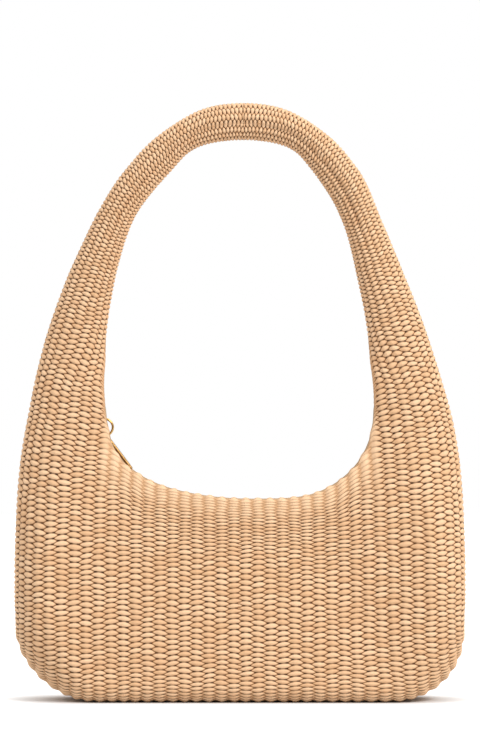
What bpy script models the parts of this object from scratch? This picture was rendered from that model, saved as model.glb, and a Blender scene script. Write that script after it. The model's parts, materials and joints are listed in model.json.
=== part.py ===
"""A woven straw hobo bag: a wedge-shaped body with boxed corners and a zipped mouth, whose two
horns run up into one padded shoulder strap. Metres, +Z up, X along the width, the front facing -Y,
with the origin at the centre of the base. Run it with blender --background --python part.py."""

import math

import bmesh
import bpy
import numpy as np
from mathutils import Matrix, Vector

# Outline of the front, right half: the base, an elliptical corner, then the side up to the strap.
BASE_FLAT = 0.100  # half the straight run of the base
CORNER = (0.0535, 0.050)  # width and height of the rounded bottom corner
SIDE = (
    (0.1537, 0.095),
    (0.1500, 0.160),
    (0.1392, 0.215),
    (0.1214, 0.272),
    (0.0918, 0.340),
    (0.0565, 0.3855),
    (0.0290, 0.4020),
)
STRAP_TOP = 0.4065  # height of the strap's crown
# Inner outline, right half: the rim of the mouth, then the inside of the strap.
RIM_LOW = 0.1367
RIM = ((0.0452, 0.1428), (0.0738, 0.1564), (0.0884, 0.1768), (0.0917, 0.2030))
LOOP = ((0.0911, 0.231), (0.0864, 0.272), (0.0721, 0.3264), (0.0473, 0.3604), (0.0300, 0.3745))
LOOP_TOP = 0.3794

# Depths, each half of the front-to-back size.
BASE_DEPTH = 0.0375
BASE_EDGE = 0.010  # radius where the base turns up into the wall
SIDE_TURN = 0.034  # how far from the side the front reaches its full depth
MOUTH_DEPTH = 0.0130
HORN_DEPTH = 0.0155
HORN_SLIT = 0.0066  # half the slit between the two rims where the horn ends
CLOSING_RISE = 0.014  # how far above the rim's lowest point the rims start to close in
STRAP_DEPTH = 0.0140
CROWN_DEPTH = 0.0130

# Cloth thicknesses and the play between two layers.
STRAW = 0.0018
LINING = 0.0006
FACING = 0.0010
GAP = 0.0003
LAYER_GAP = 0.0005
FACING_WIDTH = 0.024
FACING_SHARE = 0.35  # most of a cut that the facing takes up
SEAM_WIDTH = 0.0030
SEAM_PROUD = 0.0006

STRAP_AXIS = 0.215  # height of the line about which the strap folds over

# Base board and slip pocket.
BOARD = (0.188, 0.050, 0.0020)
BOARD_CORNER = 0.008
POCKET_REACH = 0.30
POCKET_RISE = (0.035, 0.100)

# Zip: a chain bent to an arc below the rim, closed when the slider is at the left end.
ZIP_RADIUS = 0.1182
ZIP_CENTRE = 0.2421
ZIP_END = math.radians(65.0)
SLIDER_REST = math.radians(-58.5)
SLIDER_TRAVEL = math.radians(95.0)
TAPE = 0.0008
TEETH = (0.0012, 0.0018)  # width of one row and height of the chain
TAPE_EDGE = 0.0017
TAPE_PLAY = 0.0012
SLIDER = (0.0100, 0.0080, 0.0050)  # along the chain, across it, and up
SLIDER_BEVEL = 0.0008
TEETH_INSIDE = 0.0005  # how far the closed teeth start inside the slider, past its middle
SLIDER_POST = (0.0025, 0.0014)
BRIDGE = (0.0034, 0.0030, 0.0006)  # span, height and wire radius
RING = (0.0058, 0.0008)
PULL = (0.0320, 0.0070, 0.0022)
PULL_EYE = 0.0017
PULL_HANG = math.radians(-77.0)  # where on the ring the pull hangs
PULL_ANGLE = math.radians(-52.9)
PULL_BEVEL = 0.0009
PULL_MARGIN = 0.0014  # metal between the eye and the end of the pull
STOP = (0.0022, 0.0022, 0.0012)
TAB_SHARE = 0.7  # the end tabs' share of the gap between the facings

TURN_STEPS = 4
WALL_STEPS = 4
FACING_STEPS = 4
POCKET_STEPS = 3
PADDING_START = 0.88
PADDING_STEPS = 4
ROOT_STEPS = 17
STRAP_STEPS = 15
RING_SIDES = 18
CHAIN_STEPS = 36
TAPE_STEPS = 40
TAB_STEPS = {"left": 2, "right": 10}
ARCH_STEPS = 12


def clear_scene():
    for obj in list(bpy.data.objects):
        bpy.data.objects.remove(obj)


def collection(name):
    made = bpy.data.collections.new(name)
    bpy.context.scene.collection.children.link(made)
    return made


def material(name, colour, roughness, metallic=0.0):
    made = bpy.data.materials.new(name)
    made.use_nodes = True
    shader = made.node_tree.nodes["Principled BSDF"]
    shader.inputs["Base Color"].default_value = (*colour, 1.0)
    shader.inputs["Roughness"].default_value = roughness
    shader.inputs["Metallic"].default_value = metallic
    return made


def smoothstep(low, high, value):
    share = min(max((value - low) / (high - low), 0.0), 1.0)
    return share * share * (3.0 - 2.0 * share)


def through(points, steps=12):
    """A smooth curve through the points (Catmull-Rom), as a dense polyline."""
    ends = 2 * points[:1] - points[1:2], 2 * points[-1:] - points[-2:-1]
    known = np.concatenate([ends[0], points, ends[1]])
    found = []
    for a, b, c, d in zip(known, known[1:], known[2:], known[3:]):
        for k in range(steps):
            t = k / steps
            found.append(
                0.5 * (2 * b + (c - a) * t + (2 * a - 5 * b + 4 * c - d) * t**2
                       + (3 * b - a - 3 * c + d) * t**3)
            )
    return np.array([*found, points[-1]])


def mirrored_end(points):
    """Points up to the centre line, with the curve running level across it."""
    over = np.array([[-x, z] for x, z in points[-2:-1]])
    line = through(np.concatenate([points, over]))
    return line[line[:, 0] > 1e-6]


def outer_line():
    """Base centre to crown along the outside of the right half."""
    width, height = CORNER
    turns = np.linspace(-math.pi / 2, 0, 13)
    corner = np.stack(
        [BASE_FLAT + width * np.cos(turns), height + height * np.sin(turns)], axis=1
    )
    side = np.array([corner[-1], *SIDE, (0.0, STRAP_TOP)])
    upper = mirrored_end(side)
    return np.concatenate([[[0.0, 0.0]], corner[:-1], upper, [[0.0, STRAP_TOP]]])


def inner_line():
    """Lowest point of the rim to the top of the loop along the inside of the right half."""
    points = np.array([(0.0, RIM_LOW), *RIM, *LOOP, (0.0, LOOP_TOP)])
    over = np.array([[-points[1][0], points[1][1]]])
    line = mirrored_end(np.concatenate([over, points]))
    return np.concatenate([[[0.0, RIM_LOW]], line, [[0.0, LOOP_TOP]]])


def crossing(line, height):
    """The point where a rising polyline reaches a height."""
    for a, b in zip(line, line[1:]):
        if a[1] <= height <= b[1] and b[1] > a[1]:
            return a + (b - a) * (height - a[1]) / (b[1] - a[1])
    raise ValueError(f"the outline never reaches {height}")


def spread(line, shares):
    """Points at these shares of a polyline's length."""
    steps = np.linalg.norm(np.diff(line, axis=0), axis=1)
    along = np.concatenate([[0.0], np.cumsum(steps)])
    wanted = np.asarray(shares) * along[-1]
    return np.stack([np.interp(wanted, along, line[:, k]) for k in (0, 1)], axis=1)


class Outline:
    """The two outlines, split at the horn's end and at the strap's folding line."""

    def __init__(self):
        outer, inner = outer_line(), inner_line()
        self.horn_end = STRAP_AXIS - STRAP_DEPTH - GAP
        self.outer_root = self.below(outer, self.horn_end)
        self.inner_root = self.below(inner, self.horn_end)
        self.outer_strap = self.above(outer, STRAP_AXIS)
        self.inner_strap = self.above(inner, STRAP_AXIS)

    @staticmethod
    def below(line, height):
        end = crossing(line, height)
        return np.concatenate([[p for p in line if p[1] < height], [end]])

    @staticmethod
    def above(line, height):
        start = crossing(line, height)
        return np.concatenate([[start], [p for p in line if p[1] > height]])


class Section:
    """One cut across the body, from the outer outline to the rim: u runs along the cut and v is
    the depth in front of the middle plane."""

    def __init__(self, outline, share):
        self.outer = spread(outline.outer_root, [share])[0]
        self.inner = spread(outline.inner_root, [share])[0]
        run = self.inner - self.outer
        self.length = float(np.hypot(*run))
        self.along = run / self.length
        x, z = self.outer
        turned = smoothstep(BASE_FLAT, BASE_FLAT + CORNER[0], x) if z < CORNER[1] else 1.0
        rise = smoothstep(0.0, outline.horn_end, z)
        self.depth = BASE_DEPTH + (HORN_DEPTH - BASE_DEPTH) * rise
        self.round_v = BASE_EDGE + (self.depth - BASE_EDGE) * turned
        side_turn = min(SIDE_TURN, self.length / 2)
        self.round_u = BASE_EDGE + (side_turn - BASE_EDGE) * turned
        closing = smoothstep(RIM_LOW + CLOSING_RISE, outline.horn_end, self.inner[1])
        self.closing = closing
        self.rim = MOUTH_DEPTH + (HORN_SLIT - MOUTH_DEPTH) * closing

    def wall(self, u):
        """Depth of the wall at u, past the turn from the base or side."""
        start = self.round_u
        share = min(max((u - start) / (self.length - start), 0.0), 1.0)
        straight = self.depth + (self.rim - self.depth) * share
        rounded = self.rim + (self.depth - self.rim) * math.sqrt(1.0 - share * share)
        return straight + (rounded - straight) * self.closing

    def turn(self, inset):
        """The base's half width and the turn up into the wall."""
        flat = self.depth - self.round_v
        found = [(inset, GAP / 2)]
        found.append((inset, max(flat / 2, GAP)))
        for k in range(TURN_STEPS + 1):
            angle = math.pi / 2 * k / TURN_STEPS
            u = self.round_u - (self.round_u - inset) * math.cos(angle)
            v = flat + (self.round_v - inset) * math.sin(angle)
            found.append((u, max(v, 2 * GAP)))
        return found

    def stretch(self, inset, start, end, steps):
        """Points of the wall between two distances, drawn in by the inset."""
        places = [start + (end - start) * k / steps for k in range(steps + 1)]
        return [(u, self.wall(u) - inset) for u in places]

    def lower_wall(self, inset):
        """From the turn to the lower edge of the rim's facing."""
        return self.stretch(inset, self.round_u, self.split(), WALL_STEPS)

    def upper_wall(self, inset):
        """From the lower edge of the rim's facing to the rim."""
        return self.stretch(inset, self.split(), self.length, FACING_STEPS)

    @staticmethod
    def raised(pairs):
        """The same stretch starting a gap further along, clear of the sheet it meets."""
        (u, v), *rest = pairs
        return [(u + GAP, v), *rest]

    def place(self, pairs, side, mirror):
        """World points of (u, v) pairs, on the front for side -1 and the left for mirror -1."""
        found = []
        for u, v in pairs:
            x, z = self.outer + self.along * u
            found.append((mirror * x, side * v, z))
        return found

    def split(self):
        """Where the lining ends and the rim's facing starts."""
        return self.length - min(FACING_WIDTH, FACING_SHARE * self.length)


def add_mesh(name, points, faces, look, parts):
    mesh = bpy.data.meshes.new(name)
    mesh.from_pydata(points, [], faces)
    form = bmesh.new()
    form.from_mesh(mesh)
    bmesh.ops.recalc_face_normals(form, faces=form.faces)
    form.to_mesh(mesh)
    form.free()
    mesh.shade_smooth()
    mesh.set_sharp_from_angle(angle=math.radians(40.0))
    mesh.materials.append(look)
    obj = bpy.data.objects.new(name, mesh)
    parts.objects.link(obj)
    return obj


def cloth(name, outside, inside, look, parts):
    """A closed sheet lofted between two grids of points with the same rows and columns."""
    rows, columns = len(outside), len(outside[0])
    points = [p for grid in (outside, inside) for row in grid for p in row]
    back = rows * columns

    def at(r, c, side=0):
        return side * back + r * columns + c

    faces = []
    for r in range(rows - 1):
        for c in range(columns - 1):
            faces.append((at(r, c), at(r, c + 1), at(r + 1, c + 1), at(r + 1, c)))
            faces.append((at(r, c, 1), at(r + 1, c, 1), at(r + 1, c + 1, 1), at(r, c + 1, 1)))
    for c in range(columns - 1):
        for r in (0, rows - 1):
            faces.append((at(r, c), at(r, c, 1), at(r, c + 1, 1), at(r, c + 1)))
    for r in range(rows - 1):
        for c in (0, columns - 1):
            faces.append((at(r, c), at(r + 1, c), at(r + 1, c, 1), at(r, c, 1)))
    return add_mesh(name, points, faces, look, parts)


def body_sections(outline, reach=1.0, steps=ROOT_STEPS):
    """Sections from the left horn round the base to the right horn, as (section, mirror)."""
    shares = reach * np.linspace(0.0, 1.0, steps)
    right = [(Section(outline, s), 1.0) for s in shares]
    left = [(section, -1.0) for section, _ in reversed(right[1:])]
    return left + right


def make_shells(outline, looks, parts):
    """Straw panels, their lining and the rim facings, one of each in front and one behind."""
    sections = body_sections(outline)
    within = STRAW + LAYER_GAP
    for side, place in ((-1.0, "front"), (1.0, "back")):
        panel = [
            [s.place(s.turn(inset) + s.lower_wall(inset)[1:] + s.upper_wall(inset)[1:], side, m)
             for s, m in sections]
            for inset in (0.0, STRAW)
        ]
        cloth(f"{place}_panel", *panel, looks["straw"], parts)
        lining = [
            [s.place(s.turn(inset) + s.lower_wall(inset)[1:], side, m) for s, m in sections]
            for inset in (within, within + LINING)
        ]
        cloth(f"lining_{place}", *lining, looks["lining"], parts)
        facing = [
            [s.place(s.raised(s.upper_wall(inset)), side, m) for s, m in sections]
            for inset in (within, within + FACING)
        ]
        cloth(f"rim_facing_{place}", *facing, looks["facing"], parts)


def make_horn_padding(outline, looks, parts):
    """The padding's stub in each horn, on which the strap's end turns."""
    inset = STRAW + LAYER_GAP + LINING + LAYER_GAP
    rings = []
    for share in np.linspace(PADDING_START, 1.0, PADDING_STEPS):
        section = Section(outline, share)
        end = section.split() - LAYER_GAP
        half = section.turn(inset)[2:]
        half += section.stretch(inset, section.round_u, end, 2)[1:]
        front = section.place(half, -1.0, 1.0)
        back = section.place(half[::-1], 1.0, 1.0)
        rings.append(front + back)
    count = len(rings[0])
    points = [p for ring in rings for p in ring]
    faces = [tuple(range(count)), tuple(range(len(points) - count, len(points)))]
    for r in range(len(rings) - 1):
        for n in range(count):
            a, b = r * count + n, r * count + (n + 1) % count
            faces.append((a, b, b + count, a + count))
    add_mesh("horn_padding_right", points, faces, looks["padding"], parts)
    add_mesh("horn_padding_left", mirror_points(points), faces, looks["padding"], parts)


def make_pocket(outline, looks, parts):
    """A slip pocket sewn to the back lining, open at its top."""
    sections = body_sections(outline, POCKET_REACH, 4)
    low, high = POCKET_RISE
    inset = STRAW + LAYER_GAP + LINING + LAYER_GAP
    grids = [
        [s.place(s.stretch(i, low, high, POCKET_STEPS), 1.0, m) for s, m in sections]
        for i in (inset, inset + LINING)
    ]
    cloth("slip_pocket", *grids, looks["lining"], parts)


def make_board(looks, parts):
    """The stiff insert that keeps the base flat."""
    length, width, height = BOARD
    bpy.ops.mesh.primitive_cube_add(size=1.0)
    board = bpy.context.object
    board.name = "base_board"
    board.data.transform(Matrix.Diagonal((length, width, height, 1.0)))
    board.location.z = STRAW + LAYER_GAP + LINING + LAYER_GAP + height / 2
    corners = board.modifiers.new("corners", "BEVEL")
    corners.width = BOARD_CORNER
    corners.segments = 4
    corners.affect = "EDGES"
    corners.limit_method = "WEIGHT"
    weights = board.data.attributes.new("bevel_weight_edge", "FLOAT", "EDGE")
    for edge in board.data.edges:
        a, b = (board.data.vertices[i].co for i in edge.vertices)
        weights.data[edge.index].value = 1.0 if abs(a.z - b.z) > height / 2 else 0.0
    claim(board, looks["board"], parts)


def claim(obj, look, parts):
    """Moves a new object into the parts with its material."""
    for home in list(obj.users_collection):
        home.objects.unlink(obj)
    parts.objects.link(obj)
    obj.data.materials.clear()
    obj.data.materials.append(look)


def strap_ring(outer, inner, depth, inset):
    """One closed ring of points round the strap: an ellipse across the two outlines."""
    centre, half = (outer + inner) / 2, (outer - inner) / 2
    reach = float(np.hypot(*half))
    across = half / reach
    found = []
    for k in range(RING_SIDES):
        angle = 2 * math.pi * k / RING_SIDES
        x, z = centre + across * (reach - inset) * math.cos(angle)
        found.append((x, (depth - inset) * math.sin(angle), z))
    return found


def strap_end(outer, inner, inset, steps=5):
    """Rings of the half ellipsoid that closes the strap below its folding line."""
    centre_x, half = (outer[0] + inner[0]) / 2, (outer[0] - inner[0]) / 2
    radius = STRAP_DEPTH - inset
    rings = []
    for k in range(1, steps):
        drop = math.sin(math.pi / 2 * k / steps)
        size = math.cos(math.pi / 2 * k / steps)
        ring = []
        for n in range(RING_SIDES):
            angle = 2 * math.pi * n / RING_SIDES
            ring.append(
                (
                    centre_x + (half - inset) * size * math.cos(angle),
                    radius * size * math.sin(angle),
                    STRAP_AXIS - radius * drop,
                )
            )
        rings.append(ring)
    return rings[::-1], (centre_x, 0.0, STRAP_AXIS - radius)


def strap_rings(outline, inset, stop):
    """Rings from the folding line towards the crown, ending at a distance from the middle."""
    shares = np.linspace(0.0, 1.0, STRAP_STEPS)
    outer, inner = (
        spread(line, shares) for line in (outline.outer_strap, outline.inner_strap)
    )
    rings = []
    for share, a, b in zip(shares, outer, inner):
        depth = STRAP_DEPTH + (CROWN_DEPTH - STRAP_DEPTH) * share
        ring = strap_ring(a, b, depth, inset)
        if share == 1.0:
            ring = [(stop, y, z) for _, y, z in ring]
        rings.append(ring)
    ends, pole = strap_end(outer[0], inner[0], inset)
    return ends + rings, pole


def skin(points, faces, rings, pole):
    """Adds rings closed by a pole at their first end. Returns the last ring's first index."""
    tip = len(points)
    points.append(pole)
    starts = []
    for ring in rings:
        starts.append(len(points))
        points.extend(ring)
    for n in range(RING_SIDES):
        m = (n + 1) % RING_SIDES
        faces.append((tip, starts[0] + m, starts[0] + n))
    for a, b in zip(starts, starts[1:]):
        for n in range(RING_SIDES):
            m = (n + 1) % RING_SIDES
            faces.append((a + n, a + m, b + m, b + n))
    return starts[-1]


def mirror_points(points):
    return [(-x, y, z) for x, y, z in points]


def make_strap(outline, looks, parts):
    """Two straw sleeves over one padded core, joined by a seam at the crown."""
    stop = SEAM_WIDTH / 2 + GAP
    points, faces = [], []
    outside = skin(points, faces, *strap_rings(outline, 0.0, stop))
    inside = skin(points, faces, *strap_rings(outline, STRAW, stop))
    for n in range(RING_SIDES):
        m = (n + 1) % RING_SIDES
        faces.append((outside + n, outside + m, inside + m, inside + n))
    add_mesh("strap_cover_right", points, faces, looks["straw"], parts)
    add_mesh("strap_cover_left", mirror_points(points), faces, looks["straw"], parts)

    rings, pole = strap_rings(outline, STRAW + GAP, 0.0)
    points, faces = [], []
    skin(points, faces, rings, pole)
    count = len(points)
    points += mirror_points(points[: count - RING_SIDES])
    last = count - RING_SIDES

    def over(index):
        return index if index >= last else index + count

    faces += [tuple(over(i) for i in face) for face in list(faces)]
    add_mesh("strap_core", points, faces, looks["padding"], parts)
    make_seam(outline, looks, parts)


def make_seam(outline, looks, parts):
    """The raised ring where the two sleeves are sewn together."""
    outer, inner = outline.outer_strap[-1], outline.inner_strap[-1]
    points, faces = [], []
    starts = []
    for x in (-SEAM_WIDTH / 2, 0.0, SEAM_WIDTH / 2):
        proud = SEAM_PROUD if x == 0.0 else 0.0
        starts.append(len(points))
        points += [(x, y, z) for _, y, z in strap_ring(outer, inner, CROWN_DEPTH, -proud)]
    for x in (SEAM_WIDTH / 2, 0.0, -SEAM_WIDTH / 2):
        starts.append(len(points))
        points += [(x, y, z) for _, y, z in strap_ring(outer, inner, CROWN_DEPTH, STRAW)]
    for a, b in zip(starts, [*starts[1:], starts[0]]):
        for n in range(RING_SIDES):
            m = (n + 1) % RING_SIDES
            faces.append((a + n, a + m, b + m, b + n))
    add_mesh("strap_top_seam", points, faces, looks["straw"], parts)


def zip_point(angle, height=0.0):
    """A point over the chain: height is measured from it towards the arc's centre."""
    reach = ZIP_RADIUS - height
    return np.array([reach * math.sin(angle), ZIP_CENTRE - reach * math.cos(angle)])


def half_gap(outline, angle):
    """Free half depth between the facings where the chain passes."""
    x, z = zip_point(angle)
    spot = np.array([abs(x), z])
    low, high = 0.0, 1.0
    for _ in range(30):
        share = (low + high) / 2
        section = Section(outline, share)
        run, off = section.inner - section.outer, spot - section.outer
        ahead = run[0] * off[1] - run[1] * off[0] < 0.0
        low, high = (share, high) if ahead else (low, share)
    section = Section(outline, low)
    u = float(np.dot(spot - section.outer, section.along))
    return section.wall(u) - STRAW - LAYER_GAP - FACING


def arc_strip(name, look, parts, low, high, edges, heights, steps):
    """A bar of rectangular section bent along the chain's arc. edges gives its two depths."""
    points, faces = [], []
    for k in range(steps + 1):
        angle = low + (high - low) * k / steps
        near, far = edges(angle)
        for y, height in (
            (near, heights[0]), (far, heights[0]), (far, heights[1]), (near, heights[1])
        ):
            x, z = zip_point(angle, height)
            points.append((x, y, z))
    for k in range(steps):
        for n in range(4):
            a, b = 4 * k + n, 4 * k + (n + 1) % 4
            faces.append((a, b, b + 4, a + 4))
    faces += [(0, 1, 2, 3), tuple(4 * steps + n for n in range(4))]
    return add_mesh(name, points, faces, look, parts)


def make_chain(outline, looks, parts):
    """Tapes, teeth, stops and the cloth tabs that close the chain's two ends."""
    slide_end = SLIDER_REST + SLIDER_TRAVEL
    half_slider = SLIDER[0] / 2 / ZIP_RADIUS
    play = GAP / ZIP_RADIUS
    stop_angle = STOP[0] / ZIP_RADIUS
    teeth_start = SLIDER_REST + TEETH_INSIDE / ZIP_RADIUS
    teeth_end = slide_end + half_slider + stop_angle
    tab_left = SLIDER_REST - half_slider - stop_angle - 3 * play
    for side, place in ((-1.0, "front"), (1.0, "back")):
        def tape_edges(angle, side=side):
            return side * TAPE_EDGE, side * (half_gap(outline, angle) - TAPE_PLAY)

        def teeth_edges(angle, side=side):
            return side * GAP / 2, side * (TAPE_EDGE - GAP)

        def stop_edges(angle, side=side):
            return side * TAPE_EDGE, side * (TAPE_EDGE + STOP[1])

        arc_strip(f"zip_tape_{place}", looks["tape"], parts, -ZIP_END, ZIP_END, tape_edges,
                  (-TAPE / 2, TAPE / 2), TAPE_STEPS)
        arc_strip(f"zip_teeth_{place}", looks["metal"], parts, teeth_start, teeth_end, teeth_edges,
                  (-TEETH[1] / 2, TEETH[1] / 2), CHAIN_STEPS)
        first = SLIDER_REST - half_slider - play
        arc_strip(f"zip_top_stop_{place}", looks["metal"], parts, first - stop_angle, first,
                  stop_edges, (TAPE / 2 + GAP, TAPE / 2 + GAP + STOP[2]), 1)
    base = TAPE / 2 + GAP
    arc_strip("zip_bottom_stop", looks["metal"], parts, slide_end + half_slider + play,
              slide_end + half_slider + stop_angle,
              lambda angle: (-TAPE_EDGE - STOP[1] / 2, TAPE_EDGE + STOP[1] / 2),
              (TEETH[1] / 2 + GAP, TEETH[1] / 2 + GAP + STOP[2]), 1)
    spans = {"left": (-ZIP_END, tab_left), "right": (teeth_end + play, ZIP_END)}
    for place, (low, high) in spans.items():
        arc_strip(f"zip_end_tab_{place}", looks["tape"], parts, low, high,
                  lambda angle: (-TAB_SHARE * half_gap(outline, angle),
                                 TAB_SHARE * half_gap(outline, angle)),
                  (base, base + TAPE), TAB_STEPS[place])


def union(obj, other, operation):
    made = obj.modifiers.new(operation.lower(), "BOOLEAN")
    made.operation = operation
    made.object = other
    made.solver = "EXACT"


def box(name, size, centre):
    bpy.ops.mesh.primitive_cube_add(size=1.0)
    obj = bpy.context.object
    obj.name = name
    obj.data.transform(Matrix.Translation(centre) @ Matrix.Diagonal((*size, 1.0)))
    return obj


def helper(obj, cutters):
    """Hides a cutting or joining shape."""
    for home in list(obj.users_collection):
        home.objects.unlink(obj)
    cutters.objects.link(obj)
    obj.hide_render = True
    obj.display_type = "WIRE"
    return obj


def slider_frame():
    """The slider's place: X along the chain, Y across it and Z towards the arc's centre."""
    x, z = zip_point(SLIDER_REST)
    frame = bpy.data.objects.new("slider_frame", None)
    frame.location = (x, 0.0, z)
    frame.rotation_euler = (0.0, -SLIDER_REST, 0.0)
    return frame


def make_slider(looks, parts, cutters):
    """A two-plate slider with its dividing post, and the loop on top that holds the ring."""
    frame = slider_frame()
    parts.objects.link(frame)
    length, width, height = SLIDER
    post_length, post_width = SLIDER_POST
    channel = TEETH[1] + 2 * GAP
    body = box("slider_body", SLIDER, (0.0, 0.0, 0.0))
    edges = body.modifiers.new("edges", "BEVEL")
    edges.width = SLIDER_BEVEL
    edges.segments = 2
    slot = helper(box("slider_channel", (2 * length, 2 * width, channel), (0, 0, 0)), cutters)
    post_at = (-length / 2 + post_length, 0.0, 0.0)
    post = helper(box("slider_post", (post_length, post_width, height / 2), post_at), cutters)
    union(body, slot, "DIFFERENCE")
    union(body, post, "UNION")
    for obj in (slot, post, body):
        obj.parent = frame
    claim(body, looks["metal"], parts)

    span, rise, wire = BRIDGE
    curve = bpy.data.curves.new("slider_bridge", "CURVE")
    curve.dimensions = "3D"
    curve.bevel_depth = wire
    curve.bevel_resolution = 2
    curve.use_fill_caps = True
    line = curve.splines.new("POLY")
    turns = [math.pi * k / ARCH_STEPS for k in range(ARCH_STEPS + 1)]
    foot = height / 2 + GAP
    arch = [(0.0, -span * math.cos(a), foot + rise * math.sin(a) ** 0.7) for a in turns]
    line.points.add(len(arch) - 1)
    for point, place in zip(line.points, arch):
        point.co = (*place, 1.0)
    bridge = bpy.data.objects.new("slider_bridge", curve)
    parts.objects.link(bridge)
    curve.materials.append(looks["metal"])
    bridge.parent = frame
    return frame


def ring_centre():
    radius, wire = RING
    height = SLIDER[2] / 2 + GAP + wire + radius
    x, z = zip_point(SLIDER_REST, height)
    return Vector((x, 0.0, z))


def make_pull(looks, parts, cutters):
    """The ring through the slider's loop and the bar that hangs on it."""
    radius, wire = RING
    centre = ring_centre()
    bpy.ops.mesh.primitive_torus_add(
        major_radius=radius, minor_radius=wire, major_segments=24, minor_segments=8,
        location=centre, rotation=(math.pi / 2, 0.0, 0.0),
    )
    ring = bpy.context.object
    ring.name = "pull_ring"
    ring.data.shade_smooth()
    claim(ring, looks["metal"], parts)

    length, width, thick = PULL
    bar = box("pull_tab", PULL, (length / 2 - PULL_EYE - PULL_MARGIN, 0.0, 0.0))
    edges = bar.modifiers.new("edges", "BEVEL")
    edges.width = PULL_BEVEL
    edges.segments = 2
    bpy.ops.mesh.primitive_cylinder_add(vertices=20, radius=PULL_EYE, depth=4 * thick,
                                        location=(0.0, 0.0, 0.0))
    eye = helper(bpy.context.object, cutters)
    eye.name = "pull_eye"
    union(bar, eye, "DIFFERENCE")
    frame = bpy.data.objects.new("pull_frame", None)
    hang = Vector((math.cos(PULL_HANG), 0.0, math.sin(PULL_HANG)))
    frame.location = centre + radius * hang
    frame.rotation_euler = (0.0, -PULL_ANGLE, 0.0)
    parts.objects.link(frame)
    for obj in (eye, bar):
        obj.parent = frame
    claim(bar, looks["metal"], parts)


def main():
    clear_scene()
    parts = collection("hobo_bag")
    cutters = collection("hobo_bag_cutters")
    looks = {
        "straw": material("straw", (0.72, 0.50, 0.29), 0.75),
        "facing": material("facing", (0.64, 0.44, 0.26), 0.8),
        "lining": material("lining", (0.78, 0.66, 0.50), 0.85),
        "board": material("board", (0.30, 0.24, 0.18), 0.9),
        "padding": material("padding", (0.85, 0.82, 0.76), 0.95),
        "tape": material("tape", (0.60, 0.45, 0.29), 0.85),
        "metal": material("metal", (0.80, 0.60, 0.28), 0.25, 1.0),
    }
    outline = Outline()
    make_shells(outline, looks, parts)
    make_horn_padding(outline, looks, parts)
    make_pocket(outline, looks, parts)
    make_board(looks, parts)
    make_chain(outline, looks, parts)
    make_slider(looks, parts, cutters)
    make_pull(looks, parts, cutters)
    make_strap(outline, looks, parts)


main()
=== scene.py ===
"""The looks of the woven straw hobo bag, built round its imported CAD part. Metres, +Z up, the front
facing -Y. The straw is a mesh whose columns run from the base up to the mouth or round the strap,
raised into grains; the cloth, the zip and the gold fittings follow."""

import json
import math

import bpy
import numpy as np
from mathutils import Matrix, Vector

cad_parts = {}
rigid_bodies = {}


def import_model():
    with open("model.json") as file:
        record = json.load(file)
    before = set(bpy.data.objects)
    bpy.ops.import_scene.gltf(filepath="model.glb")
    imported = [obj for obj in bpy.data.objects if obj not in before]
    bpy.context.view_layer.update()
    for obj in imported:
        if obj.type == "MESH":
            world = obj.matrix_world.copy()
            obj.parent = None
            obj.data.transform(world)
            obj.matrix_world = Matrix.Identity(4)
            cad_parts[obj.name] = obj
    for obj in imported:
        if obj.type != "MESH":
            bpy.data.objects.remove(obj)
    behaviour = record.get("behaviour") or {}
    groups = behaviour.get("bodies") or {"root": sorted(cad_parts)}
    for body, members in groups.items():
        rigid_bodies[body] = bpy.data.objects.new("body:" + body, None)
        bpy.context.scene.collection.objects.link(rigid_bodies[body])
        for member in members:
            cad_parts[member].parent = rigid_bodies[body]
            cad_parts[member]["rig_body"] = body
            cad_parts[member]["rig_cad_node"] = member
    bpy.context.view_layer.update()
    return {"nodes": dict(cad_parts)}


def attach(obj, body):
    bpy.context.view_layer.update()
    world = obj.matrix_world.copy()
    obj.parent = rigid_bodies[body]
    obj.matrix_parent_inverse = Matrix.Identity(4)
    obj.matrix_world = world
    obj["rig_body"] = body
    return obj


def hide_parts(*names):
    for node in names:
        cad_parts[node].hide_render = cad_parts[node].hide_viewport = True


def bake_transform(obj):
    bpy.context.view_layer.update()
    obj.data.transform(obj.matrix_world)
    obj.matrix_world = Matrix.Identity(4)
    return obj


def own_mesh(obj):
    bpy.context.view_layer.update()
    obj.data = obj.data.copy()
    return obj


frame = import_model()

# The bag's outline and depths: right half, heights from the base. They are the CAD part's, but
# for the strap: its shoulders are a little wider, and the inside of its crown a little higher.
BASE_FLAT = 0.100
CORNER = (0.0535, 0.050)
SIDE = (
    (0.1537, 0.095), (0.1500, 0.160), (0.1392, 0.215),
    (0.1214, 0.272), (0.0918, 0.340), (0.0752, 0.3664), (0.0565, 0.3855), (0.0290, 0.4020),
)
STRAP_TOP = 0.4065
RIM_LOW = 0.1367
RIM = ((0.0452, 0.1428), (0.0738, 0.1564), (0.0884, 0.1768), (0.0917, 0.2030))
LOOP = ((0.0911, 0.231), (0.0864, 0.272), (0.0721, 0.3264), (0.0473, 0.3626), (0.0300, 0.3776))
LOOP_TOP = 0.3824
BASE_DEPTH = 0.0375
BASE_EDGE = 0.010
SIDE_TURN = 0.034
MOUTH_DEPTH = 0.0130
HORN_DEPTH = 0.0155
HORN_SLIT = 0.0066
HORN_END = 0.2007
CLOSING_RISE = 0.014  # how far above the rim's lowest point the rims start to close in
STRAP_DEPTH = 0.0140
CROWN_DEPTH = 0.0130
SIDE_DEPTH = 0.031  # the half depth that the side's arc is worked out with

# How finely the shell is measured out.
CORNER_STEPS = 13
CURVE_STEPS = 12
SEARCH_STEPS = 26
COLUMN_MARKS = 600
BASE_STEPS = 8
TURN_STEPS = 26
TURN_HEIGHT = 0.024
WALL_STEPS = 90
STRAP_STEPS = 150
ROLL_STEPS = 6
TUCK_STEPS = 3
TINY = 1e-7

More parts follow.
